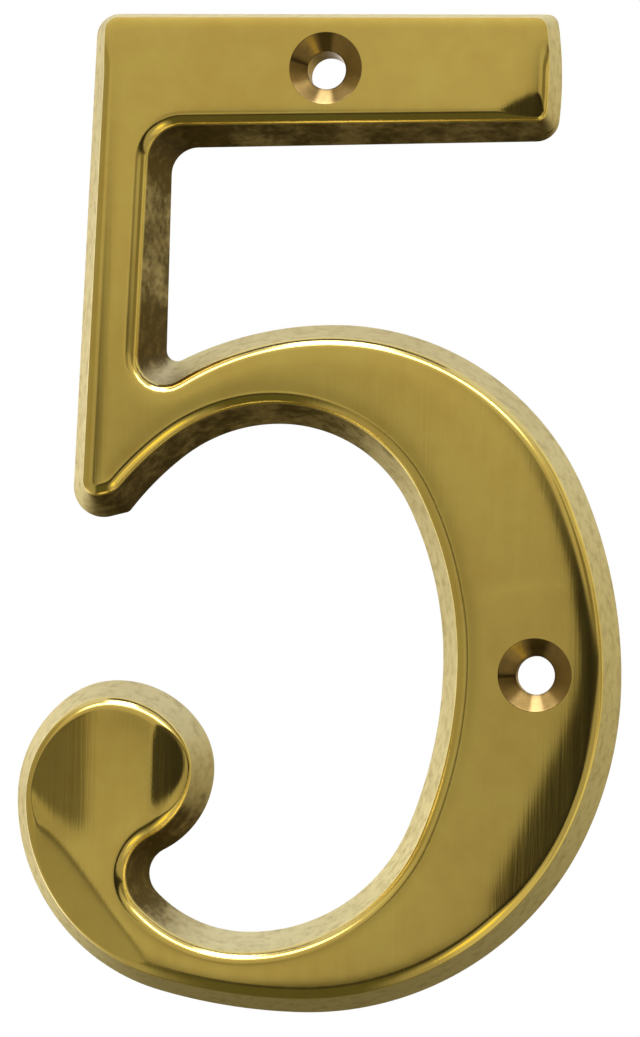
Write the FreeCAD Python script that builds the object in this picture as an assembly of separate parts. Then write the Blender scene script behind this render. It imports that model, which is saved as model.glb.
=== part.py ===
import FreeCAD, Part
import cmath
import math
import os
from collections import namedtuple

# Door number 5, one solid brass casting for two countersunk wood screws.
# It stands upright as on a door: +X to the right, +Z up, its flat back on Y = 0
# against the door and its face towards -Y. The origin lies midway between the two
# screw holes on the back. All sizes are millimetres, all angles degrees.
# In the drawing below x runs from the left edge of the number and z from its bottom.

# Overall
number_width = 61.5
thickness = 6.0

# Top bar and stem
bar_depth = 13.9            # at the stem's inner side
bar_taper = 1.3             # the underside rises towards the end
bar_reach = 54.5            # x of the bar's bulged end
bar_end_radius = 41.0
notch_height = 18.1         # open height between the bar and the bowl
stem_x = 6.55               # outer side of the stem at the top
stem_lean = 1.7
stem_width = 8.45           # at the bar's underside
stem_inner_lean = 0.4
foot_drop = 20.55           # underside of the stem's foot below the bowl's crest, at stem_x
foot_rise = 14.5
foot_width = 4.4            # from stem_x to the corner under the foot

# Outside of the bowl
bowl_height = 70.0
bowl_crest_x = 31.95
bowl_crest_radius = 35.5    # from the crest back to the stem
bowl_widest_z = 33.95
bowl_lowest_x = 29.55

# Open counter inside the bowl
stroke_top = 10.2
stroke_side = 18.05
stroke_bottom = 8.0
counter_start_angle = 53.7  # where the counter leaves the foot
counter_crest_x = 26.4
counter_widest_z = 35.6
counter_lowest_x = 23.8

# Ball that ends the bowl, and the hollow of its neck
ball_width = 20.25
ball_height = 33.3
ball_crest_x = 10.25
ball_inner_drop = 8.9       # below the ball's crest, where the inner side stands upright
ball_outer_drop = 11.95     # the same on the outer side
neck_inset = 3.75           # neck's centre from the ball's inner side
neck_rise = 5.75            # neck's centre above the bowl's lower stroke
neck_radius = 2.7

# Balance of each two-arc curve: above 1 the first arc takes the longer share
counter_start_balance = 0.72
counter_top_balance = 1.07
counter_bottom_balance = 0.72
ball_inner_balance = 0.4
ball_outer_balance = 0.43
bowl_left_balance = 2.1
bowl_low_balance = 2.6
bowl_high_balance = 0.55

# Corner radii at the back edge, and further up at the crease
top_left_radius = 2.4
top_left_crease = 1.4
top_right_radius = 1.2
top_right_crease = 1.15
bar_under_radius = 2.35
bar_under_crease = 1.0
bar_stem_radius = 2.8
bar_stem_crease = 3.6
stem_bowl_radius = 1.1
stem_bowl_crease = 2.85
foot_radius = 3.15
foot_crease = 1.5
foot_corner_radius = 0.9
foot_corner_crease = 2.5
least_radius = 0.25         # no outer corner is drawn in tighter than this

# Wall that leans in from the back, and the rolled edge between wall and face
wall_draft = 1.75
shoulder_draft = 2.35       # of the bowl's top, where it meets the stem
bar_top_draft = 1.35
bar_end_draft = 1.1
bar_under_draft = 1.65      # at the stem
bar_under_end_draft = 1.35  # at the bar's end
stem_inner_draft = 2.25     # at the bowl
stem_inner_top_draft = 1.8  # at the bar
foot_draft = 1.95
roll_width = 1.3
roll_height = 0.65
roll_sections = 7

# Screw holes
upper_screw_x = 30.85
upper_screw_drop = 6.55     # below the top edge
lower_screw_inset = 8.5     # from the bowl's right edge
lower_screw_z = 34.6
bore_diameter = 3.9
countersink_diameter = 7.3
countersink_angle = 90.0

# Worked out from the sizes above
number_height = bowl_height + notch_height + bar_depth
foot_height = bowl_height - foot_drop

# Points of the drawing are complex numbers, x to the right and z upwards. The outline
# runs with the metal on its left, so an outer curve turns left (+1), a hollow one right (-1).
Line = namedtuple("Line", "start end")
Arc = namedtuple("Arc", "centre radius turn start end")
Corner = namedtuple("Corner", "radius crease_radius turn")
RIGHT, UP, LEFT, DOWN = 1, 1j, -1, -1j
OUTER, HOLLOW = 1, -1


def heading(degrees):
    return cmath.rect(1.0, math.radians(degrees))


def dot(a, b):
    return (a.conjugate()*b).real


def cross(a, b):
    return (a.conjugate()*b).imag


def unit(a):
    return a/abs(a)


def leaving_arc(start, direction, end):
    """The arc that leaves one point along a direction and ends at another."""
    chord = end - start
    side = cross(direction, chord)
    turn = OUTER if side > 0 else HOLLOW
    radius = abs(chord)**2/(2*abs(side))
    return Arc(start + 1j*direction*turn*radius, radius, turn, start, end)


def swing(start, leave, end, arrive, balance):
    """Two tangent arcs from one point and direction to another."""
    chord = end - start
    a = 2*balance*(dot(leave, arrive) - 1)
    b = -2*(balance*dot(chord, leave) + dot(chord, arrive))
    root = math.sqrt(b*b - 4*a*abs(chord)**2)
    reach = min(t for t in ((-b + root)/(2*a), (-b - root)/(2*a)) if t > 0)
    lead = balance*reach
    joint = (reach*(start + lead*leave) + lead*(end - reach*arrive))/(lead + reach)
    first = leaving_arc(start, leave, joint)
    along = 1j*first.turn*unit(joint - first.centre)
    return [first, leaving_arc(joint, along, end)]


def neck_arcs(low, inner):
    """From the counter's lowest point round the neck to the ball's inner side, all tangent."""
    neck = complex(inner.real - neck_inset, low.imag + neck_rise)
    v = neck - low
    reach = (abs(v)**2 - neck_radius**2)/(2*(v.imag - neck_radius))
    floor = low + 1j*reach
    entry = floor + reach*unit(neck - floor)
    v = neck - inner
    swell = (abs(v)**2 - neck_radius**2)/(2*(neck_radius - v.real))
    ball = inner - swell
    leave = ball + swell*unit(neck - ball)
    return [Arc(floor, reach, HOLLOW, low, entry),
            Arc(neck, neck_radius, HOLLOW, entry, leave),
            Arc(ball, swell, OUTER, leave, inner)]


def foot_corner():
    """The corner under the foot, where its underside meets the counter."""
    return complex(stem_x + foot_width, foot_height + foot_width*math.tan(math.radians(foot_rise)))


def bowl_curves():
    """The bowl from the corner under the foot, in round the counter, out round the ball."""
    corner = foot_corner()
    counter_crest = complex(counter_crest_x, bowl_height - stroke_top)
    counter_side = complex(number_width - stroke_side, counter_widest_z)
    counter_low = complex(counter_lowest_x, stroke_bottom)
    ball_inner = complex(ball_width, ball_height - ball_inner_drop)
    ball_crest = complex(ball_crest_x, ball_height)
    ball_outer = complex(0, ball_height - ball_outer_drop)
    low = complex(bowl_lowest_x, 0)
    side = complex(number_width, bowl_widest_z)
    crest = complex(bowl_crest_x, bowl_height)
    shoulder = crest - 1j*bowl_crest_radius
    curves = swing(corner, heading(counter_start_angle), counter_crest, RIGHT, counter_start_balance)
    curves += swing(counter_crest, RIGHT, counter_side, DOWN, counter_top_balance)
    curves += swing(counter_side, DOWN, counter_low, LEFT, counter_bottom_balance)
    curves += neck_arcs(counter_low, ball_inner)
    curves += swing(ball_inner, UP, ball_crest, LEFT, ball_inner_balance)
    curves += swing(ball_crest, LEFT, ball_outer, DOWN, ball_outer_balance)
    curves += swing(ball_outer, DOWN, low, RIGHT, bowl_left_balance)
    curves += swing(low, RIGHT, side, UP, bowl_low_balance)
    curves += swing(side, UP, crest, LEFT, bowl_high_balance)
    stem_side = complex(stem_x + stem_width, bowl_height)
    curves.append(Arc(shoulder, bowl_crest_radius, OUTER, crest, stem_side))
    return curves


def sides():
    """Every side of the outline in order: curve, draft at either end, and the corner that follows."""
    top_left = complex(stem_x, number_height)
    foot_left = complex(stem_x, foot_height)
    inner_x = stem_x - bar_depth*math.tan(math.radians(stem_lean)) + stem_width
    inner = complex(inner_x, number_height - bar_depth)
    bar_end = complex(bar_reach, number_height - bar_depth/2)
    stem_run = number_height - foot_height
    even = (wall_draft, wall_draft)
    bowl = [(curve, even, None) for curve in bowl_curves()]
    bowl[-1] = (bowl[-1][0], (wall_draft, shoulder_draft),
                Corner(stem_bowl_radius, stem_bowl_crease, HOLLOW))
    stem_outer = Line(top_left, top_left - 1j*stem_run*heading(-stem_lean))
    stem_inner = Line(inner - 1j*notch_height*heading(-stem_inner_lean), inner)
    under = Line(inner, inner + (bar_reach - inner_x)*heading(bar_taper))
    top_right = complex(bar_reach, number_height)
    bulge = Arc(bar_end - bar_end_radius, bar_end_radius, OUTER, under.end, top_right)
    return [(Line(top_right, top_left), (bar_top_draft, bar_top_draft),
             Corner(top_left_radius, top_left_crease, OUTER)),
            (stem_outer, even, Corner(foot_radius, foot_crease, OUTER)),
            (Line(foot_left, foot_corner()), (foot_draft, foot_draft),
             Corner(foot_corner_radius, foot_corner_crease, OUTER)),
            *bowl,
            (stem_inner, (stem_inner_draft, stem_inner_top_draft),
             Corner(bar_stem_radius, bar_stem_crease, HOLLOW)),
            (under, (bar_under_draft, bar_under_end_draft),
             Corner(bar_under_radius, bar_under_crease, OUTER)),
            (bulge, (bar_end_draft, bar_end_draft),
             Corner(top_right_radius, top_right_crease, OUTER))]


def drawn_in(curve, distance, end_distance=None):
    """A side moved into the metal by a distance at its start and one at its end, by default the same.
    An arc keeps its direction at its start."""
    end_distance = distance if end_distance is None else end_distance
    if isinstance(curve, Line):
        inward = 1j*unit(curve.end - curve.start)
        return Line(curve.start + inward*distance, curve.end + inward*end_distance)
    outward = unit(curve.start - curve.centre)
    start = curve.centre + outward*(curve.radius - curve.turn*distance)
    end = curve.centre + unit(curve.end - curve.centre)*(curve.radius - curve.turn*end_distance)
    return leaving_arc(start, 1j*curve.turn*outward, end)


def crossing(a, b, near):
    """Where two sides, run on past their ends, cross nearest to a point."""
    if isinstance(a, Arc):
        a, b = b, a
    along = unit(a.end - a.start)
    if isinstance(b, Line):
        other = unit(b.end - b.start)
        return a.start + along*cross(b.start - a.start, other)/cross(along, other)
    middle = a.start + along*dot(along, b.centre - a.start)
    half = math.sqrt(b.radius**2 - abs(middle - b.centre)**2)
    return min((middle + along*half, middle - along*half), key=lambda p: abs(p - near))


def nearest(curve, point):
    """The point of a side closest to a given point."""
    if isinstance(curve, Line):
        along = unit(curve.end - curve.start)
        return curve.start + along*dot(along, point - curve.start)
    return curve.centre + curve.radius*unit(point - curve.centre)


def corner_arc(a, b, radius, turn):
    """The arc of a given radius that rounds the corner between two sides."""
    centre = crossing(drawn_in(a, turn*radius), drawn_in(b, turn*radius), a.end)
    return Arc(centre, radius, turn, nearest(a, centre), nearest(b, centre))


def outline(lean, roll):
    """The outline drawn in by a share of each side's draft and by part of the rolled edge."""
    listed = sides()
    curves = [drawn_in(curve, *(lean*d + roll for d in drafts)) for curve, drafts, corner in listed]
    trimmed = list(curves)
    corners = {}
    for k, (curve, drafts, corner) in enumerate(listed):
        if corner:
            follower = (k + 1) % len(listed)
            level = corner.radius + lean*(corner.crease_radius - corner.radius)
            tight = max(level - corner.turn*roll, least_radius)
            arc = corner_arc(curves[k], curves[follower], tight, corner.turn)
            trimmed[k] = trimmed[k]._replace(end=arc.start)
            trimmed[follower] = trimmed[follower]._replace(start=arc.end)
            corners[k] = arc
    chain = []
    for k, curve in enumerate(trimmed):
        chain += [curve, corners[k]] if k in corners else [curve]
    return chain


def place(point, depth):
    return FreeCAD.Vector(point.real, -depth, point.imag)


def edge(curve, depth):
    if isinstance(curve, Line):
        return Part.LineSegment(place(curve.start, depth), place(curve.end, depth)).toShape()
    sweep = cmath.phase((curve.end - curve.centre)/(curve.start - curve.centre))
    sweep = curve.turn*((curve.turn*sweep) % (2*math.pi))
    middle = curve.centre + (curve.start - curve.centre)*cmath.rect(1.0, sweep/2)
    return Part.Arc(*(place(p, depth) for p in (curve.start, middle, curve.end))).toShape()


def section(lean, roll, depth):
    """One closed outline at a depth in front of the back."""
    return Part.Wire([edge(curve, depth) for curve in outline(lean, roll)])


def casting():
    """The solid number: a leaning wall up to a crease, then a rolled edge up to the flat face."""
    crease = thickness - roll_height
    roll_radius = (roll_width**2 + roll_height**2)/(2*roll_height)
    roll_angle = math.asin(roll_width/roll_radius)
    rolled = []
    for k in range(roll_sections):
        angle = roll_angle*(1 - k/(roll_sections - 1))
        inward = roll_width - roll_radius*math.sin(angle)
        rolled.append(section(1, inward, thickness - roll_radius*(1 - math.cos(angle))))
    wall = Part.makeLoft([section(0, 0, 0), section(1, 0, crease)], True, True)
    return wall.fuse(Part.makeLoft(rolled, True, False))


def screw_hole(point):
    """Cutter for one screw hole: a straight bore and a countersink, both run out past the faces."""
    overrun = 1.0
    into = FreeCAD.Vector(0, 1, 0)
    rim, bore = countersink_diameter/2, bore_diameter/2
    flare = math.tan(math.radians(countersink_angle/2))
    sink = (rim - bore)/flare
    front = place(point, thickness + overrun)
    shank = Part.makeCylinder(bore, thickness + 2*overrun, front, into)
    return shank.fuse(Part.makeCone(rim + overrun*flare, bore, sink + overrun, front, into))


def main():
    upper = complex(upper_screw_x, number_height - upper_screw_drop)
    lower = complex(number_width - lower_screw_inset, lower_screw_z)
    number = casting().cut(screw_hole(upper)).cut(screw_hole(lower))
    number.translate(-place((upper + lower)/2, 0))
    os.makedirs("parts", exist_ok=True)
    number.Solids[0].exportStep("parts/number_five.step")


main()
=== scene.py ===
import cmath
import math
from collections import namedtuple

import bpy
import numpy as np
from mathutils import Matrix, Quaternion, Vector
from mathutils.geometry import delaunay_2d_cdt


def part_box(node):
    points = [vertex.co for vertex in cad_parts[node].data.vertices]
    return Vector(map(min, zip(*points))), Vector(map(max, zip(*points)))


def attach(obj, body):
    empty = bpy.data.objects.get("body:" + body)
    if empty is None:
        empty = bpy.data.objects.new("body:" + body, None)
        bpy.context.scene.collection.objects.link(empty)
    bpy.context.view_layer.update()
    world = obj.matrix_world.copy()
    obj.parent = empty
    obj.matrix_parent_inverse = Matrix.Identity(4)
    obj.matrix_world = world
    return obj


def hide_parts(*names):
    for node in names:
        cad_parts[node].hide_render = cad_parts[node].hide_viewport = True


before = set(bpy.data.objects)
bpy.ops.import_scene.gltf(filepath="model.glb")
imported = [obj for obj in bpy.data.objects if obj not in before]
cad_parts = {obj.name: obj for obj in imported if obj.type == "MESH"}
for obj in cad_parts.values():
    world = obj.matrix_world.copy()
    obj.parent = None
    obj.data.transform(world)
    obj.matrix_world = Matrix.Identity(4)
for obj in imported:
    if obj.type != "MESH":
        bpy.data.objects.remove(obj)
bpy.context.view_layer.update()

bl_info = {
    "name": "Brass Door Number",
    "version": (1, 0, 0),
    "blender": (4, 5, 0),
    "location": "View3D > Sidebar > Door Number",
    "description": "A cast brass numeral five with a buffed face, dull walls and screw holes",
    "category": "Object",
}

NODE = "number_five"
BODY = "root"
MM = 0.001
LOW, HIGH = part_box(NODE)
MIDDLE = (LOW + HIGH)/2

# The drawing of the number, in millimetres and degrees. x runs right from its left edge and z up from its
# bottom, so the lowest corner of the node's box is the origin. A point is the complex number x + zj.
number_width = (HIGH.x - LOW.x)/MM
number_height = (HIGH.z - LOW.z)/MM
thickness = round((HIGH.y - LOW.y)/MM, 2)

# Top bar and stem
bar_depth = 13.9
bar_taper = 1.3
bar_reach = 54.5
bar_end_radius = 41.0
notch_height = 18.1
stem_x = 6.55
stem_lean = 1.7
stem_width = 8.45
stem_inner_lean = 0.4
foot_drop = 20.55
foot_rise = 14.5
foot_width = 4.4

# Outside of the bowl
bowl_crest_x = 31.95
bowl_crest_radius = 35.5
bowl_widest_z = 33.95
bowl_lowest_x = 29.55

# Open counter inside the bowl
stroke_top = 10.2
stroke_side = 18.05
stroke_bottom = 8.0
counter_start_angle = 53.7
counter_crest_x = 26.4
counter_widest_z = 35.6
counter_lowest_x = 23.8

# Ball that ends the bowl, and the hollow of its neck
ball_width = 20.25
ball_height = 33.3
ball_crest_x = 10.25
ball_inner_drop = 8.9
ball_outer_drop = 11.95
neck_inset = 3.75
neck_rise = 5.75
neck_radius = 2.7

# Balance of each two-arc curve: above 1 the first arc takes the longer share
counter_balances = (0.72, 1.07, 0.72)           # start, top and bottom of the counter
outside_balances = (0.4, 0.43, 2.1, 2.6, 0.55)  # ball inside and outside, bowl left, low and high

# Corners: the radius at the back edge, the one further up at the crease, and the turn. The outline runs
# with the metal on its left, so an outer curve turns left (+1), a hollow one right (-1).
Corner = namedtuple("Corner", "radius crease_radius turn")
OUTER, HOLLOW = 1, -1
top_left_round = Corner(2.4, 1.4, OUTER)
top_right_round = Corner(1.2, 1.15, OUTER)
bar_under_round = Corner(2.35, 1.0, OUTER)
bar_stem_round = Corner(2.8, 3.6, HOLLOW)
stem_bowl_round = Corner(1.1, 2.85, HOLLOW)
foot_left_round = Corner(3.15, 1.5, OUTER)
foot_right_round = Corner(0.9, 2.5, OUTER)
least_radius = 0.25

# How far each side leans in from the back, and the rolled edge between wall and face
wall_draft = 1.75
shoulder_draft = 2.35
bar_top_draft = 1.35
bar_end_draft = 1.1
bar_under_draft = 1.65
bar_under_end_draft = 1.35
stem_inner_draft = 2.25
stem_inner_top_draft = 1.8
foot_draft = 1.95
roll_width = 1.3
roll_height = 0.65
roll_power = 2.6
bar_top_roll = 0.1          # share of the roll's drop along the top of the bar,
bar_top_fade = (7.0, 3.2)   # and how far below the top this starts and is full

# Screw holes
upper_screw_x = 30.85
upper_screw_drop = 6.55
lower_screw_inset = 8.5
lower_screw_z = 34.6
bore_radius = 1.95
sink_radius = 3.65
sink_depth = 1.3
sink_border = 0.12          # ring of even points on the face round a countersink

# Worked out from the sizes above
bowl_height = number_height - bar_depth - notch_height
foot_height = bowl_height - foot_drop
screws = (complex(upper_screw_x, number_height - upper_screw_drop),
          complex(number_width - lower_screw_inset, lower_screw_z))

# Flats that the buffing wheel left on the face. Each falls away to the right of its line by a slope in
# degrees. The softness rounds the turn from the face into it, and past its reach it fades out.
Flat = namedtuple("Flat", "start end slope softness reach")
FLATS = (
    Flat(3.0 + 20.0j, 13.6 + 7.0j, 9.0, 0.007, 17.0),       # lower left of the bowl
    Flat(49.0 + 14.0j, 59.5 + 38.2j, 4.5, 0.05, 14.0),      # lower right of the bowl
    Flat(48.8 + 92.0j, 53.0 + 93.9j, 12.5, 0.02, 4.0),      # lower corner of the bar's end
    Flat(8.9 + 33.0j, 8.9 + 22.0j, 3.4, 0.03, 8.0),         # left of the ball
    Flat(14.2 + 21.0j, 14.2 + 29.0j, 10.0, 0.010, 3.5),     # right of the ball
)
flat_fade = 4.0

# Extra fall of the crown along the right of the bowl, and where this wear starts and is full on its way
# in from the left, from below and from above
right_edge_wear = 0.35
right_edge_left = (48.0, 54.0)
right_edge_low = (24.0, 31.0)
right_edge_high = (60.0, 50.0)

# Painted shade, with some real dirt, on sheltered walls: how far up metal covers a wall, how far round
# a pocket or hollow counts, and the share of metal where a hollow begins, how fast it grows and the most
# it adds
shelter_reach = 20.0
pocket_spread = 1.2
hollow_spread = 5.0
hollow_start = 0.53
hollow_gain = 10.0
hollow_most = 1.2

# Loose points that fill the face and the back: how far the edge is blurred, the share of metal that a
# point needs, its gap to a hole, and the spacing on the back
face_blur, face_share, face_gap = 0.2, 0.93, 0.25
back_blur, back_share, back_gap = 0.5, 0.97, 0.8
back_spacing = 2.0

# Sides of the outline, and the directions
Line = namedtuple("Line", "start end")
Arc = namedtuple("Arc", "centre radius turn start end")
RIGHT, UP, LEFT, DOWN = 1, 1j, -1, -1j

# The finishes, in the order of the numeral's materials, and the tint of dull brass at a grazing angle
FACE, WALL, TURNED, BACK = range(4)
DULL_EDGE = {"Specular Tint": (0.85, 0.70, 0.42, 1.0)}

# The light tent round the number. A patch has its middle by angle to the right and by angle upwards from
# the front of the face, round to 180 behind it, and half its width and rise with the softness of the edge.
Patch = namedtuple("Patch", "level right width up rise")
TENT_RADIUS = 0.42
TENT_LEVEL = (0.50, 0.50, 0.50)
TENT_PATCHES = (
    Patch((0.64, 0.64, 0.64), 0, (90, 1), 45, (34, 8)),         # brighter upwards
    Patch((0.85, 0.85, 0.84), 0, (90, 1), 55, (24, 12)),        # and more so higher up
    Patch((0.95, 0.95, 0.82), 0, (90, 1), 180, (78, 6)),        # white wall behind the number
    Patch((2.40, 2.75, 4.20), -28, (22, 8), -175, (45, 8)),     # and brighter on its left
    Patch((1.10, 1.22, 1.60), 0, (60, 10), 140, (22, 8)),       # its upper part less so
    Patch((0.25, 0.24, 0.20), 4, (37, 11), -140, (38, 8)),      # its lower part in shade
    Patch((0.45, 0.45, 0.42), -38, (20, 8), -32, (14, 8)),      # dull lower left
    Patch((0.85, 0.85, 0.80), 36, (13, 5), -80, (34, 8)),       # bright lower right
    Patch((1.60, 1.50, 0.55), 26, (7, 3), -60, (12, 5)),        # a gold gleam in it
    Patch((0.13, 0.135, 0.09), -5, (16, 6), -72, (42, 5)),      # the table in shade
    Patch((0.06, 0.06, 0.05), -2, (14, 5), -26, (8, 3)),        # its dark front edge
    Patch((0.645, 0.645, 0.62), -15, (8, 4), 0, (16, 6)),       # a little brighter on the left
    Patch((0.68, 0.68, 0.67), 0, (6, 4), 10, (9, 5)),           # and on the upper right
    Patch((0.36, 0.36, 0.34), -9.5, (4, 3), -1, (6, 3)),        # faint shade in front
    Patch((0.16, 0.16, 0.15), -23, (6, 2.5), -5, (14, 5)),      # soft shade on the left
    Patch((0.30, 0.30, 0.28), 13, (9, 7), 6, (8, 4)),           # soft shade on the right
    Patch((0.02, 0.02, 0.018), 11, (7, 3), -15, (12, 3)),       # dark board on the right
    Patch((0.02, 0.02, 0.018), 45, (40, 2.5), -4.5, (9.5, 3)),  # and its arm further round
    Patch((0.44, 0.43, 0.36), -76, (18, 8), 0, (181, 1)),       # dull far left
    Patch((0.44, 0.43, 0.36), 82, (10, 6), 180, (60, 10)),      # and far right
    Patch((0.26, 0.25, 0.20), 66, (14, 6), 30, (24, 8)),        # with more shade in front
    Patch((0.95, 1.10, 1.90), 0, (50, 10), 98, (18, 5)),        # pale ceiling
    Patch((6.0, 6.6, 9.5), 0, (38, 8), 55, (8, 4)),             # lamp in front of it
    Patch((7.5, 8.5, 14.5), -5, (11, 4), 72, (14, 5)),          # and its narrow upper part
)

# The floor and the photograph's camera, in metres, degrees and millimetres of lens
FLOOR_DROP = 0.42
FLOOR_REACH = 8.0
CAMERA_EYE = Vector((27.556, -382.0, -31.344))*MM
CAMERA_AIM = Vector((-11.344, 0.0, -14.844))*MM
CAMERA_ROLL = 1.115
CAMERA_LENS = 130.76


def length_field(name, description, default, least):
    """A length to set, given here in millimetres and kept in metres."""
    return bpy.props.FloatProperty(name=name, description=description, default=default*MM, min=least*MM,
                                   unit="LENGTH", precision=5)


def colour_field(name, description, default):
    """A colour to set."""
    return bpy.props.FloatVectorProperty(name=name, description=description, default=default,
                                         subtype="COLOR", min=0.0, max=1.0)


class NumberSizes(bpy.types.PropertyGroup):
    """Sizes of the finish that the castings get by hand, in metres"""
    point_spacing: length_field("Point spacing", "Distance between points along the outline", 0.3, 0.1)
    face_spacing: length_field("Face spacing", "Distance between points on the face", 0.45, 0.2)
    crown_drop: length_field(
        "Crown drop", "How far the buffed face falls from the middle of a stroke past its edge", 0.44, 0.0)
    crown_reach: length_field(
        "Crown reach", "How far in from the edge the buffed face starts to fall", 1.5, 0.2)
    flat_depth: bpy.props.FloatProperty(
        name="Flat depth", description="Share of its slope that each buffed flat has",
        default=1.0, min=0.0, max=1.0, subtype="FACTOR")
    rim_softness: length_field(
        "Rim softness", "Width of the rounding on the rim of a countersink", 0.05, 0.01)


class BrassColours(bpy.types.PropertyGroup):
    """Colours of the brass in its finishes"""
    buffed: colour_field(
        "Buffed face", "Clean brass of the buffed face and rolled edge", (0.70, 0.515, 0.114))
    warm: colour_field("Warm tarnish", "Thin warm tarnish in clouds over the face", (0.645, 0.44, 0.092))
    cast: colour_field("Cast wall", "Dull sand-cast brass of the side walls", (0.60, 0.50, 0.23))
    # On sheltered walls the brown and the dark blotch colours are partly real tarnish and partly painted
    # shade
    film_and_shade: colour_field("Brown film", "Thin brown film on sheltered walls", (0.27, 0.18, 0.06))
    grime_and_shade: colour_field("Grime", "Dark blotches on the brown film", (0.055, 0.037, 0.017))
    turned: colour_field(
        "Turned countersink", "Brass of the turned countersinks and bores", (0.29, 0.175, 0.042))


# The drawing

def heading(degrees):
    """The direction at an angle up from the right."""
    return cmath.rect(1.0, math.radians(degrees))


def dot(a, b):
    """How far one direction runs along another."""
    return (a.conjugate()*b).real


def cross(a, b):
    """How far the second direction runs to the left of the first."""
    return (a.conjugate()*b).imag


def unit(a):
    """The direction with length 1."""
    return a/abs(a)


def leaving_arc(start, direction, end):
    """The arc that leaves one point along a direction and ends at another. Its radius is the square of the
    chord over twice the chord's reach across the direction."""
    chord = end - start
    side = cross(direction, chord)
    turn = OUTER if side > 0 else HOLLOW
    radius = abs(chord)**2/(2*abs(side))
    return Arc(start + 1j*direction*turn*radius, radius, turn, start, end)


def swing(start, leave, end, arrive, balance):
    """Two tangent arcs from one point and direction to another. Their tangents' lengths are in the given
    balance, and solve the quadratic that makes the two arcs meet in one direction."""
    chord = end - start
    a = 2*balance*(dot(leave, arrive) - 1)
    b = -2*(balance*dot(chord, leave) + dot(chord, arrive))
    root = math.sqrt(b*b - 4*a*abs(chord)**2)
    reach = min(t for t in ((-b + root)/(2*a), (-b - root)/(2*a)) if t > 0)
    lead = balance*reach
    joint = (reach*(start + lead*leave) + lead*(end - reach*arrive))/(lead + reach)
    first = leaving_arc(start, leave, joint)
    along = 1j*first.turn*unit(joint - first.centre)
    return [first, leaving_arc(joint, along, end)]


def neck_arcs(low, inner):
    """From the counter's lowest point round the neck to the ball's inner side, all tangent."""
    neck = complex(inner.real - neck_inset, low.imag + neck_rise)
    v = neck - low
    reach = (abs(v)**2 - neck_radius**2)/(2*(v.imag - neck_radius))
    floor = low + 1j*reach
    entry = floor + reach*unit(neck - floor)
    v = neck - inner
    swell = (abs(v)**2 - neck_radius**2)/(2*(neck_radius - v.real))
    ball = inner - swell
    leave = ball + swell*unit(neck - ball)
    return [Arc(floor, reach, HOLLOW, low, entry),
            Arc(neck, neck_radius, HOLLOW, entry, leave),
            Arc(ball, swell, OUTER, leave, inner)]


def foot_corner():
    """The corner under the foot, where its underside meets the counter."""
    return complex(stem_x + foot_width, foot_height + foot_width*math.tan(math.radians(foot_rise)))


def swings(stops, balances):
    """Two tangent arcs from each stop to the next. A stop is a point and the direction through it."""
    return [arc for first, second, balance in zip(stops, stops[1:], balances)
            for arc in swing(*first, *second, balance)]


def bowl_curves():
    """The bowl from the corner under the foot, in round the counter, out round the ball."""
    counter = [(foot_corner(), heading(counter_start_angle)),
               (complex(counter_crest_x, bowl_height - stroke_top), RIGHT),
               (complex(number_width - stroke_side, counter_widest_z), DOWN),
               (complex(counter_lowest_x, stroke_bottom), LEFT)]
    crest = complex(bowl_crest_x, bowl_height)
    outside = [(complex(ball_width, ball_height - ball_inner_drop), UP),
               (complex(ball_crest_x, ball_height), LEFT),
               (complex(0, ball_height - ball_outer_drop), DOWN),
               (complex(bowl_lowest_x, 0), RIGHT),
               (complex(number_width, bowl_widest_z), UP),
               (crest, LEFT)]
    return [*swings(counter, counter_balances), *neck_arcs(counter[-1][0], outside[0][0]),
            *swings(outside, outside_balances),
            Arc(crest - 1j*bowl_crest_radius, bowl_crest_radius, OUTER, crest,
                complex(stem_x + stem_width, bowl_height))]


def sides():
    """Every side of the outline in order: curve, its draft or one for either end, and the next corner."""
    top_left = complex(stem_x, number_height)
    inner_x = stem_x - bar_depth*math.tan(math.radians(stem_lean)) + stem_width
    inner = complex(inner_x, number_height - bar_depth)
    bowl = [(curve, (wall_draft,), None) for curve in bowl_curves()]
    bowl[-1] = (bowl[-1][0], (wall_draft, shoulder_draft), stem_bowl_round)
    stem_outer = Line(top_left, top_left - 1j*(number_height - foot_height)*heading(-stem_lean))
    stem_inner = Line(inner - 1j*notch_height*heading(-stem_inner_lean), inner)
    under = Line(inner, inner + (bar_reach - inner_x)*heading(bar_taper))
    top_right = complex(bar_reach, number_height)
    bulge = Arc(complex(bar_reach - bar_end_radius, number_height - bar_depth/2), bar_end_radius, OUTER,
                under.end, top_right)
    return [(Line(top_right, top_left), (bar_top_draft,), top_left_round),
            (stem_outer, (wall_draft,), foot_left_round),
            (Line(complex(stem_x, foot_height), foot_corner()), (foot_draft,), foot_right_round),
            *bowl,
            (stem_inner, (stem_inner_draft, stem_inner_top_draft), bar_stem_round),
            (under, (bar_under_draft, bar_under_end_draft), bar_under_round),
            (bulge, (bar_end_draft,), top_right_round)]


def drawn_in(curve, distance, end_distance=None):
    """A side moved into the metal by a distance at its start and one at its end, by default the same.
    An arc keeps its direction at its start."""
    end_distance = distance if end_distance is None else end_distance
    if isinstance(curve, Line):
        inward = 1j*unit(curve.end - curve.start)
        return Line(curve.start + inward*distance, curve.end + inward*end_distance)
    outward = unit(curve.start - curve.centre)
    start = curve.centre + outward*(curve.radius - curve.turn*distance)
    end = curve.centre + unit(curve.end - curve.centre)*(curve.radius - curve.turn*end_distance)
    return leaving_arc(start, 1j*curve.turn*outward, end)


def crossing(a, b, near):
    """Where two sides, run on past their ends, cross nearest to a point."""
    if isinstance(a, Arc):
        a, b = b, a
    along = unit(a.end - a.start)
    if isinstance(b, Line):
        other = unit(b.end - b.start)
        return a.start + along*cross(b.start - a.start, other)/cross(along, other)
    middle = a.start + along*dot(along, b.centre - a.start)
    half = math.sqrt(b.radius**2 - abs(middle - b.centre)**2)
    return min((middle + along*half, middle - along*half), key=lambda p: abs(p - near))


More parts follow.
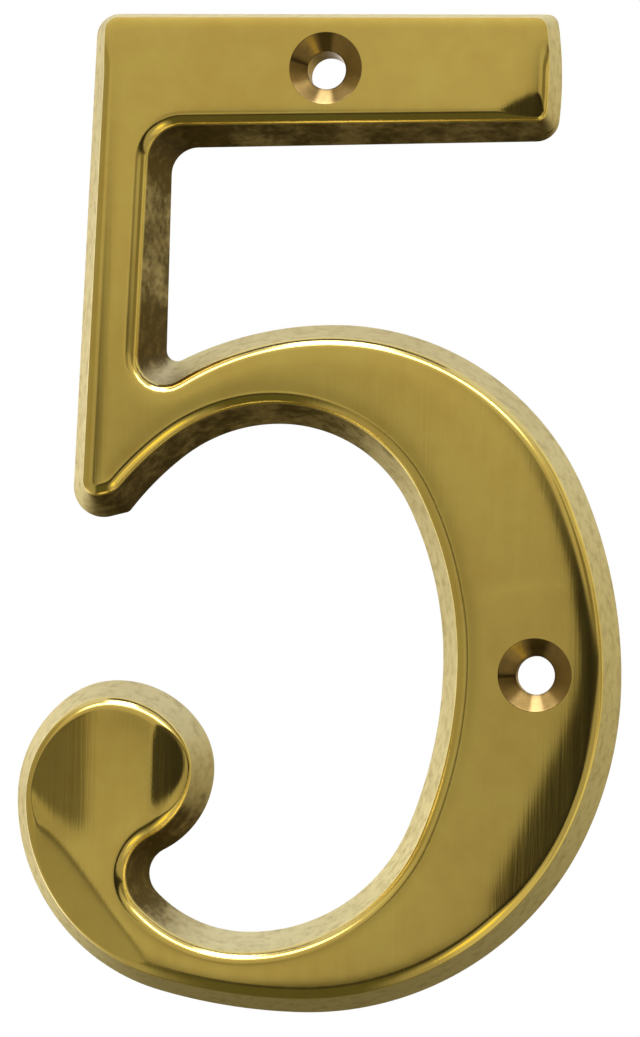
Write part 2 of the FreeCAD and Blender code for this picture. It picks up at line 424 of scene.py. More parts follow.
def nearest(curve, point):
    """The point of a side closest to a given point."""
    if isinstance(curve, Line):
        along = unit(curve.end - curve.start)
        return curve.start + along*dot(along, point - curve.start)
    return curve.centre + curve.radius*unit(point - curve.centre)


def corner_arc(a, b, radius, turn):
    """The arc of a given radius that rounds the corner between two sides."""
    centre = crossing(drawn_in(a, turn*radius), drawn_in(b, turn*radius), a.end)
    return Arc(centre, radius, turn, nearest(a, centre), nearest(b, centre))


def outline(lean, roll):
    """The outline drawn in by a share of each side's draft and by part of the rolled edge."""
    listed = sides()
    curves = [drawn_in(curve, *(lean*d + roll for d in drafts)) for curve, drafts, corner in listed]
    trimmed = list(curves)
    corners = {}
    for k, (curve, drafts, corner) in enumerate(listed):
        if corner:
            follower = (k + 1) % len(listed)
            level = corner.radius + lean*(corner.crease_radius - corner.radius)
            tight = max(level - corner.turn*roll, least_radius)
            arc = corner_arc(curves[k], curves[follower], tight, corner.turn)
            trimmed[k] = trimmed[k]._replace(end=arc.start)
            trimmed[follower] = trimmed[follower]._replace(start=arc.end)
            corners[k] = arc
    chain = []
    for k, curve in enumerate(trimmed):
        chain += [curve, corners[k]] if k in corners else [curve]
    return chain


def swept(arc):
    """The angle an arc turns through, with its sign."""
    angle = cmath.phase((arc.end - arc.centre)/(arc.start - arc.centre))
    return arc.turn*((arc.turn*angle) % (2*math.pi))


def divisions(chain, spacing):
    """How many points each side of the outline gets, at least eight."""
    lengths = [abs(c.end - c.start) if isinstance(c, Line) else c.radius*abs(swept(c)) for c in chain]
    return [max(8, math.ceil(length/spacing)) for length in lengths]


def traced(chain, counts):
    """The outline as one closed row of points, each line divided evenly and each arc turned evenly."""
    rows = []
    for curve, count in zip(chain, counts):
        t = np.arange(count)/count
        if isinstance(curve, Line):
            rows.append(curve.start + (curve.end - curve.start)*t)
        else:
            rows.append(curve.centre + (curve.start - curve.centre)*np.exp(1j*swept(curve)*t))
    return np.concatenate(rows)


# Fields over the drawing

CELL = 0.1
MARGIN = 8.0
COLUMNS = int((number_width + 2*MARGIN)/CELL)
ROWS = int((number_height + 2*MARGIN)/CELL)


def filled(loop):
    """A grid of cells, 1 inside a closed row of points. Every edge marks the cells where it crosses
    a row of the grid, and the running count of the marks along the row is odd inside."""
    p, q = loop, np.roll(loop, -1)
    z0, z1 = (p.imag + MARGIN)/CELL - 0.5, (q.imag + MARGIN)/CELL - 0.5
    first = np.ceil(np.minimum(z0, z1)).astype(int)
    count = np.ceil(np.maximum(z0, z1)).astype(int) - first
    which = np.repeat(np.arange(len(p)), count)
    row = first[which] + np.arange(len(which)) - np.repeat(np.cumsum(count) - count, count)
    share = (row - z0[which])/(z1 - z0)[which]
    x = p.real[which] + share*(q.real - p.real)[which]
    column = np.ceil((x + MARGIN)/CELL - 0.5).astype(int)
    marks = np.zeros((ROWS, COLUMNS), int)
    np.add.at(marks, (row, column), 1)
    return (np.cumsum(marks, axis=1) % 2).astype(float)


def softened(grid, spread):
    """The grid blurred with a bell curve of that spread, through its frequencies."""
    fz = np.fft.fftfreq(ROWS, CELL)[:, None]
    fx = np.fft.rfftfreq(COLUMNS, CELL)[None, :]
    bell = np.exp(-2*(math.pi*spread)**2*(fz**2 + fx**2))
    return np.fft.irfft2(np.fft.rfft2(grid)*bell, s=grid.shape)


def read_off(grid, points):
    """The grid's value at each point, in a straight line between the four nearest cells."""
    x = (points.real + MARGIN)/CELL - 0.5
    z = (points.imag + MARGIN)/CELL - 0.5
    i, j = np.floor(x).astype(int), np.floor(z).astype(int)
    u, v = x - i, z - j
    low = grid[j, i]*(1 - u) + grid[j, i + 1]*u
    high = grid[j + 1, i]*(1 - u) + grid[j + 1, i + 1]*u
    return low*(1 - v) + high*v


def lattice(spacing):
    """Points of a triangular lattice over the whole drawing."""
    rise = spacing*math.sqrt(0.75)
    row = np.arange(int(number_height/rise) + 1)[:, None]
    column = np.arange(int(number_width/spacing) + 1)[None, :]
    return ((column + 0.5*(row % 2))*spacing + 1j*rise*row).ravel()


# The casting

def wall_and_roll(roll_rows=20, wall_rows=11, last_even=0.94, below_crease=0.985):
    """Lean, roll and drop below the face of every row from the back edge up to the face. The wall is
    straight up to the crease, with one row close below it. The roll's drop is a power of the distance to
    the face, so it leaves the face softly."""
    wall = np.append(np.linspace(0.0, last_even, wall_rows), below_crease)
    inward = np.linspace(0.0, roll_width, roll_rows)
    drop = roll_height*(1 - inward/roll_width)**roll_power
    lean = np.concatenate([wall, np.ones(roll_rows)])
    roll = np.concatenate([0*wall, inward])
    return lean, roll, np.concatenate([np.full(len(wall), roll_height), drop])


def smooth_step(value, low, high):
    """0 below one value, 1 above another, and 3t^2 - 2t^3 between."""
    t = np.clip((value - low)/(high - low), 0.0, 1.0)
    return t*t*(3 - 2*t)


def roll_share(points):
    """How much of the roll's drop each point has: all of it, but less along the top of the bar."""
    start, full = (number_height - below for below in bar_top_fade)
    return 1 - (1 - bar_top_roll)*smooth_step(points.imag, start, full)


def buffed_fall(sizes):
    """A function of points and their drop on the rolled edge: how far the buffed front lies below the
    level of the face. The crown falls with the share of empty ground round the point, and each flat is a
    plane that takes over where it lies lower."""
    counts = divisions(outline(0, 0), sizes.point_spacing/MM)
    ground = softened(filled(traced(outline(1, 0), counts)), sizes.crown_reach/MM)

    def fall(points, drop=0.0):
        worn = (smooth_step(points.real, *right_edge_left) * smooth_step(points.imag, *right_edge_low)
                * smooth_step(points.imag, *right_edge_high))
        crown = sizes.crown_drop/MM*(1 + right_edge_wear*worn)
        low = drop + crown*(1 - read_off(ground, points))
        for flat in FLATS:
            past = ((points - flat.start)*np.conj(-1j*unit(flat.end - flat.start))).real
            away = abs(points - (flat.start + flat.end)/2)
            kept = smooth_step(away, flat.reach + flat_fade, flat.reach)
            plane = kept*past*math.tan(math.radians(flat.slope)*sizes.flat_depth)
            low = flat.softness*np.logaddexp(low/flat.softness, plane/flat.softness)
        return low

    return fall


def hole_profile(softness, bend_rows=5, cone_rows=7, bore_rows=6):
    """Radius and depth below the face of every row of a screw hole: two rows on the face, a rounded rim, a
    straight cone, a rounded mouth and a straight bore to the back. Each rounding is a quadratic curve."""
    bend = np.linspace(0.0, 1.0, bend_rows)
    bend = np.stack([(1 - bend)**2, 2*bend*(1 - bend), bend**2])
    along = softness*unit(complex(sink_radius - bore_radius, sink_depth))
    rim = np.array([[sink_radius + softness, sink_radius, sink_radius - along.real], [0, 0, along.imag]])
    mouth = np.array([[bore_radius + along.real, bore_radius, bore_radius],
                      [sink_depth - along.imag, sink_depth, sink_depth + softness]])
    face = np.array([[sink_border, sink_border/2], [0.0, 0.0]]) + rim[:, :1]
    back = np.array([[bore_radius], [thickness]])
    cone = np.linspace(0, 1, cone_rows + 2)[1:-1]
    bore = np.linspace(0, 1, bore_rows + 1)[1:]
    return np.concatenate([face, rim @ bend, rim[:, 2:] + (mouth[:, :1] - rim[:, 2:])*cone,
                           mouth @ bend, mouth[:, 2:] + (back - mouth[:, 2:])*bore], axis=1)


def screw_hole(centre, fall, softness, around=120):
    """A screw hole as a profile turned about its axis: points, depths, radii and the direction of the
    profile. Its rim follows the buffed face, and the cone's rows give up that fall evenly."""
    profile = hole_profile(softness)
    radius, depth = profile
    turn = np.exp(2j*math.pi*np.arange(around)/around)
    points = centre + radius[:, None]*turn[None, :]
    drop = fall(centre + np.maximum(radius, sink_radius + softness)[:, None]*turn[None, :])
    share = np.clip(1 - depth/sink_depth, 0, 1)
    out, into = np.gradient(profile, axis=1)
    out, into = out[:, None], into[:, None]
    slope = np.stack([out*turn.real, into + 0*turn.real, out*turn.imag], axis=-1)
    slope /= np.linalg.norm(slope, axis=-1, keepdims=True)
    return points, thickness - depth[:, None] - share[:, None]*drop, radius, slope.reshape(-1, 3)


def sheltered(loop):
    """How sheltered the wall is at each point of the back edge: 0 on the outside, more in a pocket with
    metal below it and above it within the reach or twice that, and more again in a tight hollow, where
    over half of the ground nearby is metal. A wall that looks down or to the right has most of this, and
    one that looks up or to the left has little. The walls darken by this share: painted shade, away from
    the light at the upper left, with some real dirt in the hollows."""
    metal = filled(loop)
    counted = np.cumsum(metal, axis=0)
    covered = 0*metal
    for reach, weight in ((shelter_reach, 0.6), (2*shelter_reach, 0.4)):
        higher = np.minimum(np.arange(ROWS) + int(reach/CELL), ROWS - 1)
        covered += weight*((counted > 0) & (counted[higher] > counted))
    pocket = np.clip(2*read_off(softened((1 - metal)*covered, pocket_spread), loop), 0, 1)
    nearby = read_off(softened(metal, hollow_spread), loop)
    hollow = np.clip(hollow_gain*(nearby - hollow_start), 0, hollow_most)
    outward = unit(-1j*(np.roll(loop, -1) - np.roll(loop, 1)))
    return np.clip(0.5 + 0.35*(outward.real - outward.imag), 0, 1)*(pocket + hollow)


def closed_strip(rows):
    """Four-sided faces between neighbouring closed rows of points, given as a grid of point numbers."""
    ahead = np.roll(rows, -1, axis=1)
    return np.stack([rows[:-1], ahead[:-1], ahead[1:], rows[1:]], axis=-1).reshape(-1, 4)


def fill_between(points, loops, inner):
    """Triangles that fill the ground between closed rows of points and take in loose points as well. The
    first row is the outer one, the others are round holes, and a triangle with all its corners on one
    hole lies inside it and is left out. loops, inner and the result are point numbers."""
    numbers = np.concatenate([*loops, inner])
    plan = np.stack([points[numbers].real, points[numbers].imag], axis=1)
    starts = np.cumsum([0] + [len(loop) for loop in loops])
    edges = np.concatenate([
        np.stack([np.arange(len(loop)), np.roll(np.arange(len(loop)), -1)], axis=1) + start
        for loop, start in zip(loops, starts)])
    found = delaunay_2d_cdt(plan.tolist(), edges.tolist(), [], 1, 1e-7)
    if len(found[0]) != len(numbers):
        raise RuntimeError("the face and its holes overlap, so the face can't be filled")
    corners = np.array(found[3])[:, 0][np.array(found[2])]
    owner = [np.full(len(loop), k) for k, loop in enumerate(loops)]
    loop_of = np.concatenate([*owner, np.full(len(inner), -1)])[corners]
    in_hole = (loop_of[:, 0] > 0) & (loop_of == loop_of[:, :1]).all(axis=1)
    return numbers[corners[~in_hole]]


def clear_points(loop, spacing, blur, share, gap):
    """Lattice points well inside a closed row of points: where the blurred metal is above the share, and
    further than the gap from the axis of either screw hole."""
    points = lattice(spacing)
    clear = read_off(softened(filled(loop), blur), points) > share
    for centre in screws:
        clear &= abs(points - centre) > gap
    return points[clear]


def casting(sizes):
    """The whole number as arrays: places, quads, triangles, the material of each, and each point's values:
    how far up the wall it lies, how sheltered it is, which sets the walls' painted shade and dirt, its
    distance from a hole's axis, and the direction of the cutter's profile there."""
    counts = divisions(outline(0, 0), sizes.point_spacing/MM)
    fall = buffed_fall(sizes)
    lean, roll, drop = wall_and_roll()
    skin = np.array([traced(outline(a, b), counts) for a, b in zip(lean, roll)])
    skin_depth = lean[:, None]*(thickness - fall(skin, drop[:, None]*roll_share(skin)))
    holes = [screw_hole(centre, fall, sizes.rim_softness/MM) for centre in screws]
    rim_radius = holes[0][2][0]
    net = clear_points(skin[-1], sizes.face_spacing/MM, face_blur, face_share, rim_radius + face_gap)
    ground = clear_points(skin[0], back_spacing, back_blur, back_share, bore_radius + back_gap)

    blocks = [skin.ravel(), *(hole[0].ravel() for hole in holes), net, ground]
    depths = [skin_depth.ravel(), *(hole[1].ravel() for hole in holes),
              thickness - fall(net), np.zeros(len(ground))]
    starts = np.cumsum([0] + [len(block) for block in blocks])
    points, depth = np.concatenate(blocks), np.concatenate(depths)
    skin_rows = np.arange(skin.size).reshape(skin.shape)
    hole_rows = [start + np.arange(hole[0].size).reshape(hole[0].shape)
                 for start, hole in zip(starts[1:], holes)]
    net_numbers = np.arange(starts[3], starts[4])
    ground_numbers = np.arange(starts[4], starts[5])

    strips = [closed_strip(rows) for rows in (skin_rows, *hole_rows)]
    face = fill_between(points, [skin_rows[-1], *(rows[0] for rows in hole_rows)], net_numbers)
    back = fill_between(points, [skin_rows[0], *(rows[-1] for rows in hole_rows)], ground_numbers)[:, ::-1]

    wall_count = np.sum(lean < 1.0)
    skin_kind = np.repeat(np.where(np.arange(len(lean) - 1) < wall_count, WALL, FACE), skin.shape[1])
    # A hole's first two strips lie on the face
    hole_kind = [np.where(np.arange(len(strip)) < 2*rows.shape[1], FACE, TURNED)
                 for strip, rows in zip(strips[1:], hole_rows)]
    kinds = np.concatenate([skin_kind, *hole_kind, np.full(len(face), FACE), np.full(len(back), BACK)])

    rise = np.ones(len(points))
    rise[:skin.size] = np.repeat(lean, skin.shape[1])
    rise[starts[4]:] = 0.0
    # How sheltered each wall point is, which darkens the wall as painted shade with some real dirt
    shade_and_dirt = np.zeros(len(points))
    shade_and_dirt[:skin.size] = np.tile(sheltered(skin[0]), len(skin))
    radial = np.zeros(len(points))
    slope = np.tile([0.0, 0.0, 1.0], (len(points), 1))
    for start, (p, _, radius, along) in zip(starts[1:], holes):
        radial[start:start + p.size] = np.repeat(radius, p.shape[1])
        slope[start:start + p.size] = along
    places = np.stack([points.real*MM + LOW.x, -depth*MM, points.imag*MM + LOW.z], axis=1)
    values = {"rise": rise, "shade_and_dirt": shade_and_dirt, "radial": radial, "slope": slope}
    return places, np.concatenate(strips), np.concatenate([face, back]), kinds, values


# Node helpers

def put(tree, kind, values=None, **settings):
    """Adds a node, sets its properties and fills its inputs: a socket is linked, any other value is set."""
    made = tree.nodes.new(kind)
    for name, value in settings.items():
        setattr(made, name, value)
    for key, value in (values or {}).items():
        if isinstance(value, bpy.types.NodeSocket):
            tree.links.new(value, made.inputs[key])
        else:
            made.inputs[key].default_value = value
    return made


def math_node(tree, operation, a, b=0.0, c=0.0):
    return put(tree, "ShaderNodeMath", {0: a, 1: b, 2: c}, operation=operation).outputs[0]


def scaled(tree, value, factor, more=0.0):
    """A value times a factor, and more added to it."""
    return math_node(tree, "MULTIPLY_ADD", value, factor, more)


def blended(tree, factor, a, b):
    """Two colours mixed by a factor. Each is a socket or three numbers."""
    a, b = (colour if isinstance(colour, bpy.types.NodeSocket) else (*colour, 1.0) for colour in (a, b))
    return put(tree, "ShaderNodeMix", {0: factor, 6: a, 7: b}, data_type="RGBA").outputs[2]


def from_to(tree, value, low, high):
    """0 below one value, 1 above another, and a smooth step between."""
    return put(tree, "ShaderNodeMapRange", {0: value, 1: low, 2: high},
               interpolation_type="SMOOTHSTEP").outputs[0]


def noise(tree, vector, scale, detail=2.0, roughness=0.5):
    return put(tree, "ShaderNodeTexNoise", {"Vector": vector, "Scale": scale, "Detail": detail,
                                            "Roughness": roughness}).outputs["Fac"]


def attribute(tree, name):
    return put(tree, "ShaderNodeAttribute", attribute_name=name).outputs["Fac"]


def new_group(name, inputs, outputs):
    """A node group that takes a vector and numbers with these defaults and puts out numbers, with the
    sockets inside it."""
    tree = bpy.data.node_groups.new(name, "ShaderNodeTree")
    tree.interface.new_socket("Vector", in_out="INPUT", socket_type="NodeSocketVector")
    for label, value in inputs.items():
        socket = tree.interface.new_socket(label, in_out="INPUT", socket_type="NodeSocketFloat")
        socket.default_value = value
    for label in outputs:
        tree.interface.new_socket(label, in_out="OUTPUT", socket_type="NodeSocketFloat")
    return tree, tree.nodes.new("NodeGroupInput").outputs, tree.nodes.new("NodeGroupOutput").inputs


def use_group(tree, group, values):
    return put(tree, "ShaderNodeGroup", values, node_tree=group).outputs


def seen_rays(tree):
    """1 for camera, glossy and transmission rays, which show the white ground, and 0 for the others."""
    rays = put(tree, "ShaderNodeLightPath").outputs
    mirrored = math_node(tree, "MAXIMUM", rays["Is Glossy Ray"], rays["Is Transmission Ray"])
    return math_node(tree, "MAXIMUM", rays["Is Camera Ray"], mirrored)


def lines_group():
    """Buffing lines: noise drawn out along z, fine across, with broader streaks in it."""
    tree, given, result = new_group("Buffing lines", {"Lines per metre": 4000.0, "Draw": 0.03},
                                    ("Height", "Streaks"))
    drawn = put(tree, "ShaderNodeCombineXYZ", {0: 1.0, 1: 1.0, 2: given["Draw"]}).outputs[0]
    along = put(tree, "ShaderNodeVectorMath", {0: given["Vector"], 1: drawn}, operation="MULTIPLY").outputs[0]
    fine = noise(tree, along, given["Lines per metre"], 3.0, 0.6)
    broad = noise(tree, along, scaled(tree, given["Lines per metre"], 0.16), 3.0, 0.6)
    tree.links.new(scaled(tree, broad, 1.5, fine), result["Height"])
    tree.links.new(broad, result["Streaks"])
    return tree


def tarnish_group():
    """Tarnish: clouds of two sizes, pushed up or down by an amount, with edges as soft as asked."""
    tree, given, result = new_group("Tarnish", {"Clouds per metre": 120.0, "Amount": 0.5, "Softness": 0.1},
                                    ("Mask",))
    cloud = noise(tree, given["Vector"], given["Clouds per metre"], 5.0, 0.62)
    fleck = noise(tree, given["Vector"], scaled(tree, given["Clouds per metre"], 5.0), 3.0, 0.6)
    mixed = scaled(tree, cloud, 0.7, scaled(tree, fleck, 0.3))
    lifted = math_node(tree, "ADD", mixed, math_node(tree, "SUBTRACT", given["Amount"], 0.5))
    low, high = (scaled(tree, given["Softness"], side, 0.5) for side in (-1.0, 1.0))
    tree.links.new(from_to(tree, lifted, low, high), result["Mask"])
    return tree


def new_material(name):
    """A new material, its node tree and the socket of the object coordinates."""
    made = bpy.data.materials.new(name)
    made.use_nodes = True
    tree = made.node_tree
    tree.nodes.clear()
    return made, tree, put(tree, "ShaderNodeTexCoord").outputs["Object"]


def brass_shader(tree, base, rough, normal, **others):
    """Metal with that colour, roughness and normal, and other constants on the shader's own sockets."""
    values = {"Base Color": base, "Roughness": rough, "Metallic": 1.0, "Normal": normal, **others}
    shader = put(tree, "ShaderNodeBsdfPrincipled", values)
    put(tree, "ShaderNodeOutputMaterial", {"Surface": shader.outputs[0]})


def bumped(tree, height, distance, normal=None):
    """The normal of a relief that stands out by a distance in metres, on top of another normal."""
    values = {"Height": height, "Distance": distance}
    if normal is not None:
        values["Normal"] = normal
    return put(tree, "ShaderNodeBump", values).outputs[0]


def buffed_brass(colours, lines, tarnish):
    """The face and rolled edge: bright brass with upright buffing lines, faint waves and thin clouds."""
    made, tree, place = new_material("buffed_brass")
    brushed = use_group(tree, lines, {"Vector": place, "Lines per metre": 4200.0, "Draw": 0.02})
    clouds = use_group(tree, tarnish, {"Vector": place, "Clouds per metre": 90.0, "Amount": 0.5,
                                       "Softness": 0.2})["Mask"]
    base = blended(tree, clouds, colours.buffed, colours.warm)
    rough = scaled(tree, brushed["Streaks"], 0.09, 0.10)
    wave = noise(tree, place, 95.0, 1.0)
    normal = bumped(tree, wave, 2.0e-5)
    normal = bumped(tree, brushed["Height"], 4.0e-6, normal)
    brass_shader(tree, base, rough, normal)
    return made


def cast_brass(colours, tarnish):
    """The side walls: dull cast grain, a brown tone and dark blotches where the wall is sheltered,
    which are partly real tarnish and dirt and partly painted shade, and a burnished line where the
    buffing wheel caught the crease."""
    made, tree, place = new_material("cast_brass")
    # Sheltered walls that face down or right turn brown and blotchy: painted shade, with some real tarnish
    # and dirt
    rise, shade_and_dirt = attribute(tree, "rise"), attribute(tree, "shade_and_dirt")
    film_and_shade = blended(tree, scaled(tree, shade_and_dirt, 0.85), colours.cast, colours.film_and_shade)
    amount = scaled(tree, shade_and_dirt, 0.42, 0.16)
    stain = use_group(tree, tarnish, {"Vector": place, "Clouds per metre": 260.0, "Amount": amount,
                                      "Softness": 0.13})["Mask"]
    burnish = scaled(tree, from_to(tree, rise, 0.93, 0.995), 0.4)
    kept = scaled(tree, burnish, -1.0, 0.9)
    base = blended(tree, scaled(tree, stain, kept), film_and_shade, colours.grime_and_shade)
    pits = noise(tree, place, 900.0, 3.0, 0.6)
    flecks = scaled(tree, from_to(tree, pits, 0.42, 0.75), 0.4)
    base = blended(tree, flecks, base, colours.film_and_shade)
    base = blended(tree, burnish, base, colours.buffed)
    grain = noise(tree, place, 3200.0, 4.0, 0.65)
    rough = scaled(tree, burnish, -0.25, scaled(tree, pits, 0.2, 0.40))
    normal = bumped(tree, pits, 3.0e-5)
    normal = bumped(tree, grain, 8.0e-6, normal)
    brass_shader(tree, base, rough, normal, **DULL_EDGE)
    return made


def turned_brass(colours, tarnish):
    """Countersinks and bores: fine rings left by the cutter spread the light along its profile, and a
    little brown stays in them."""
    made, tree, place = new_material("turned_brass")
    radial = attribute(tree, "radial")
    slope = put(tree, "ShaderNodeAttribute", attribute_name="slope").outputs["Vector"]
    rings = put(tree, "ShaderNodeTexNoise", {"W": radial, "Scale": 9.0, "Detail": 4.0, "Roughness": 0.7},
                noise_dimensions="1D").outputs["Fac"]
    stain = use_group(tree, tarnish, {"Vector": place, "Clouds per metre": 300.0, "Amount": 0.45,
                                      "Softness": 0.2})["Mask"]
    base = blended(tree, scaled(tree, stain, 0.5), colours.turned, colours.grime_and_shade)
    rough = scaled(tree, rings, 0.1, 0.18)
    normal = bumped(tree, rings, 1.0e-6)
    brass_shader(tree, base, rough, normal, Anisotropic=0.95, Tangent=slope, **DULL_EDGE)
    return made


def ground_brass(colours, lines, tarnish):
    """The flat back: ground on a belt, with straight scratches and dull patches."""
    made, tree, place = new_material("ground_brass")
    belt_turn = (0.0, math.radians(8.0), 0.0)
    turned = put(tree, "ShaderNodeMapping", {"Vector": place, "Rotation": belt_turn}).outputs[0]
    brushed = use_group(tree, lines, {"Vector": turned, "Lines per metre": 2600.0, "Draw": 0.012})
    stain = use_group(tree, tarnish, {"Vector": place, "Clouds per metre": 110.0, "Amount": 0.5,
                                      "Softness": 0.15})["Mask"]
    base = blended(tree, scaled(tree, stain, 0.5), colours.cast, colours.warm)
    rough = scaled(tree, brushed["Streaks"], 0.2, 0.3)
    normal = bumped(tree, brushed["Height"], 5.0e-6)
    brass_shader(tree, base, rough, normal)
    return made


# Operators

def linked(context, name, data):
    """A new object in the scene."""
    made = bpy.data.objects.new(name, data)
    context.scene.collection.objects.link(made)
    return made


class DOORNUMBER_OT_numeral(bpy.types.Operator):
    """Builds the cast numeral and gives its face, walls, countersinks and back their finishes"""
    bl_idname = "door_number.numeral"
    bl_label = "Cast numeral"

    def execute(self, context):
        colours = context.scene.door_number_colours
        places, quads, triangles, kinds, values = casting(context.scene.door_number_sizes)
        mesh = bpy.data.meshes.new("cast_numeral")
        mesh.from_pydata(places.tolist(), [], quads.tolist() + triangles.tolist())
        mesh.polygons.foreach_set("material_index", kinds.astype(np.int32))
        mesh.polygons.foreach_set("use_smooth", np.ones(len(kinds), bool))
        for name, value in values.items():
            kind, slot = ("FLOAT", "value") if value.ndim == 1 else ("FLOAT_VECTOR", "vector")
            mesh.attributes.new(name, kind, "POINT").data.foreach_set(slot, value.astype(np.float32).ravel())
        mesh.set_sharp_from_angle(angle=math.radians(40.0))
        lines, tarnish = lines_group(), tarnish_group()
        for material in (buffed_brass(colours, lines, tarnish), cast_brass(colours, tarnish),
                         turned_brass(colours, tarnish), ground_brass(colours, lines, tarnish)):
            mesh.materials.append(material)
        if mesh.validate():
            raise RuntimeError("the numeral's mesh has faulty faces")
        numeral = linked(context, "cast_numeral", mesh)
        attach(numeral, BODY)
        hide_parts(NODE)
        return {"FINISHED"}


def soft_patch(tree, right, up, patch):
    """1 inside a patch of the tent and 0 outside it, with soft edges."""
    offset = math_node(tree, "SUBTRACT", up, math.radians(patch.up))
    above = math_node(tree, "ABSOLUTE", math_node(tree, "WRAP", offset, math.pi, -math.pi))
    beside = math_node(tree, "ABSOLUTE", math_node(tree, "SUBTRACT", right, math.radians(patch.right)))
    within = [from_to(tree, distance, math.radians(half + soft), math.radians(half - soft))
              for distance, (half, soft) in ((beside, patch.width), (above, patch.rise))]
    return scaled(tree, *within)


def tent_glow():
    """The tent's inner side: an even glow with brighter and darker patches."""
    made, tree, place = new_material("tent_glow")
    split = put(tree, "ShaderNodeSeparateXYZ", {
        0: put(tree, "ShaderNodeVectorMath", {0: place}, operation="NORMALIZE").outputs[0]}).outputs
    right = math_node(tree, "ARCSINE", split[0])
    up = math_node(tree, "ARCTAN2", split[2], scaled(tree, split[1], -1.0))
    glow = TENT_LEVEL
    for patch in TENT_PATCHES:
        glow = blended(tree, soft_patch(tree, right, up, patch), glow, patch.level)
    emission = put(tree, "ShaderNodeEmission", {"Color": glow})
    put(tree, "ShaderNodeOutputMaterial", {"Surface": emission.outputs[0]})
    return made


def floor_paint():
    """Pale floor paint that keeps the shadow near the number and fades to the white ground further out."""
    made, tree, place = new_material("floor_paint")
    distance = put(tree, "ShaderNodeVectorMath", {0: place}, operation="LENGTH").outputs["Value"]
    far = scaled(tree, from_to(tree, distance, 0.5, 1.1), seen_rays(tree))
    speckle = noise(tree, place, 60.0, 3.0)
    paint = blended(tree, speckle, (0.80, 0.80, 0.79), (0.84, 0.84, 0.83))
    plain = put(tree, "ShaderNodeBsdfDiffuse", {"Color": paint}).outputs[0]
    white = put(tree, "ShaderNodeEmission", {"Color": (1.0, 1.0, 1.0, 1.0)}).outputs[0]
    mixed = put(tree, "ShaderNodeMixShader", {0: far, 1: plain, 2: white})
    put(tree, "ShaderNodeOutputMaterial", {"Surface": mixed.outputs[0]})
    return made


def white_ground():
    """The world: white where it is seen, and a little dimmer as light."""
    world = bpy.data.worlds.new("white_ground")
    world.use_nodes = True
    tree = world.node_tree
    tree.nodes.clear()
    strength = scaled(tree, seen_rays(tree), 0.4, 0.6)
    ground = put(tree, "ShaderNodeBackground", {"Color": (1.0, 1.0, 1.0, 1.0), "Strength": strength})
    put(tree, "ShaderNodeOutputWorld", {"Surface": ground.outputs[0]})
    return world


def ball_surface(radius, around=96, up=48):
    """A ball made of rings of points, with triangles round its two poles."""
    height = np.linspace(-math.pi/2, math.pi/2, up + 1)[1:-1]
    bearing = 2*math.pi*np.arange(around)/around
    ring = np.stack([np.cos(height)[:, None]*np.cos(bearing), np.cos(height)[:, None]*np.sin(bearing),
                     np.sin(height)[:, None] + 0*bearing], axis=-1).reshape(-1, 3)
    places = np.concatenate([ring, [[0, 0, -1], [0, 0, 1]]])*radius
    rows = np.arange(len(ring)).reshape(up - 1, around)
    quads = closed_strip(rows)
    below = np.stack([np.roll(rows[0], -1), rows[0], np.full(around, len(ring))], axis=1)
    above = np.stack([rows[-1], np.roll(rows[-1], -1), np.full(around, len(ring) + 1)], axis=1)
    return places, quads.tolist() + below.tolist() + above.tolist()


def staged(context, name, places, faces, material):
    """An object of the stage, which isn't part of the number."""
    mesh = bpy.data.meshes.new(name)
    mesh.from_pydata(places, [], faces)
    mesh.materials.append(material)
    made = linked(context, name, mesh)
    return made


def aimed(context, name, data, place, aim, roll=0.0):
    """A lamp or camera at a place, facing the aim and turned about its line of sight."""
    made = linked(context, name, data)
    turned = (aim - place).to_track_quat("-Z", "Y") @ Quaternion((0, 0, 1), roll)
    made.matrix_world = Matrix.LocRotScale(place, turned, None)
    return made


def soft_lamp(context, name, place, size, power):
    """A square lamp that faces the middle of the number and isn't mirrored in it."""
    lamp = bpy.data.lights.new(name, "AREA")
    lamp.size, lamp.energy = size, power
    aimed(context, name, lamp, place, MIDDLE).visible_glossy = False


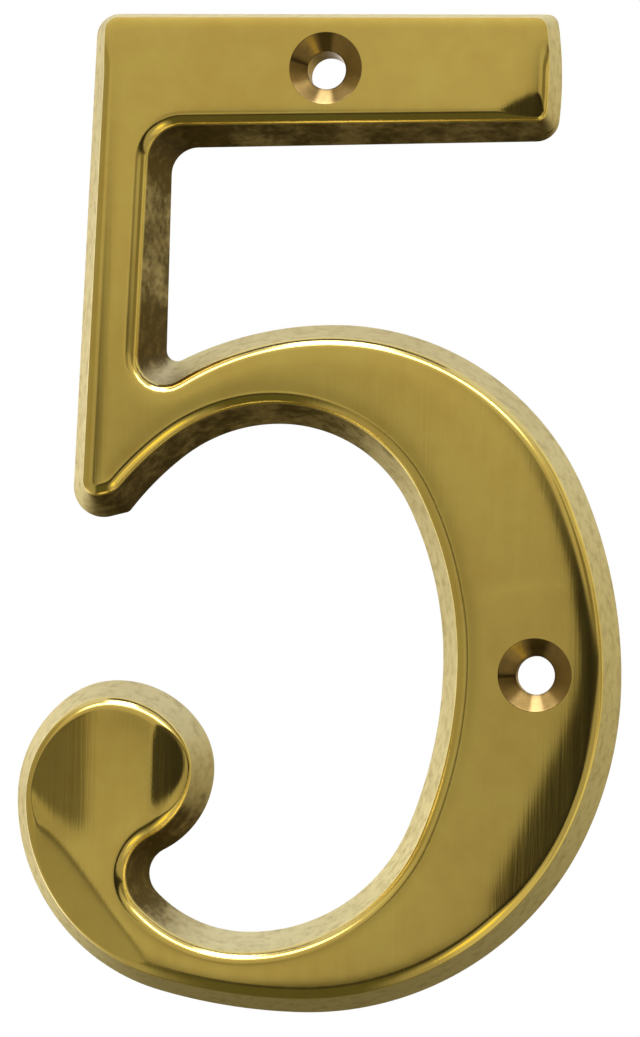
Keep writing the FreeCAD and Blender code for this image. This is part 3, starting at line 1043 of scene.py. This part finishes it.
def place_camera(context):
    """The camera at the photograph's viewing angle."""
    camera = bpy.data.cameras.new("photo_camera")
    camera.lens, camera.sensor_width, camera.sensor_fit = CAMERA_LENS, 36.0, "AUTO"
    camera.clip_start, camera.clip_end = 0.01, 50.0
    roll = math.radians(CAMERA_ROLL)
    context.scene.camera = aimed(context, "photo_camera", camera, CAMERA_EYE, CAMERA_AIM, roll)


class DOORNUMBER_OT_stage(bpy.types.Operator):
    """Sets up the pale floor, the light tent, the lamp, the white ground and the camera"""
    bl_idname = "door_number.stage"
    bl_label = "Stage"

    def execute(self, context):
        corners = [(x*FLOOR_REACH, y*FLOOR_REACH, LOW.z - FLOOR_DROP)
                   for x, y in ((-1, -1), (1, -1), (1, 1), (-1, 1))]
        staged(context, "floor", corners, [(0, 1, 2, 3)], floor_paint())
        places, faces = ball_surface(TENT_RADIUS)
        places += np.array(MIDDLE)
        tent = staged(context, "light_tent", places.tolist(), faces, tent_glow())
        tent.visible_camera = tent.visible_diffuse = tent.visible_shadow = False
        soft_lamp(context, "top_lamp", Vector((-0.10, -0.22, 0.36)), size=0.30, power=2.2)
        context.scene.world = white_ground()
        place_camera(context)
        context.scene.view_settings.view_transform = "Standard"
        return {"FINISHED"}


class DOORNUMBER_PT_panel(bpy.types.Panel):
    """Lists the number's sizes, colours and steps"""
    bl_idname = "DOORNUMBER_PT_panel"
    bl_label = "Door Number"
    bl_space_type = "VIEW_3D"
    bl_region_type = "UI"
    bl_category = "Door Number"

    def draw(self, context):
        for group in (context.scene.door_number_sizes, context.scene.door_number_colours):
            column = self.layout.column(align=True)
            for name in group.__annotations__:
                column.prop(group, name)
        for step in STEPS:
            self.layout.operator(step.bl_idname)


STEPS = (DOORNUMBER_OT_numeral, DOORNUMBER_OT_stage)
CLASSES = (NumberSizes, BrassColours, *STEPS, DOORNUMBER_PT_panel)


def register():
    for made in CLASSES:
        bpy.utils.register_class(made)
    bpy.types.Scene.door_number_sizes = bpy.props.PointerProperty(type=NumberSizes)
    bpy.types.Scene.door_number_colours = bpy.props.PointerProperty(type=BrassColours)


def unregister():
    del bpy.types.Scene.door_number_colours
    del bpy.types.Scene.door_number_sizes
    for made in reversed(CLASSES):
        bpy.utils.unregister_class(made)


def main():
    register()
    bpy.ops.door_number.numeral()
    bpy.ops.door_number.stage()


if __name__ == "__main__":
    main()
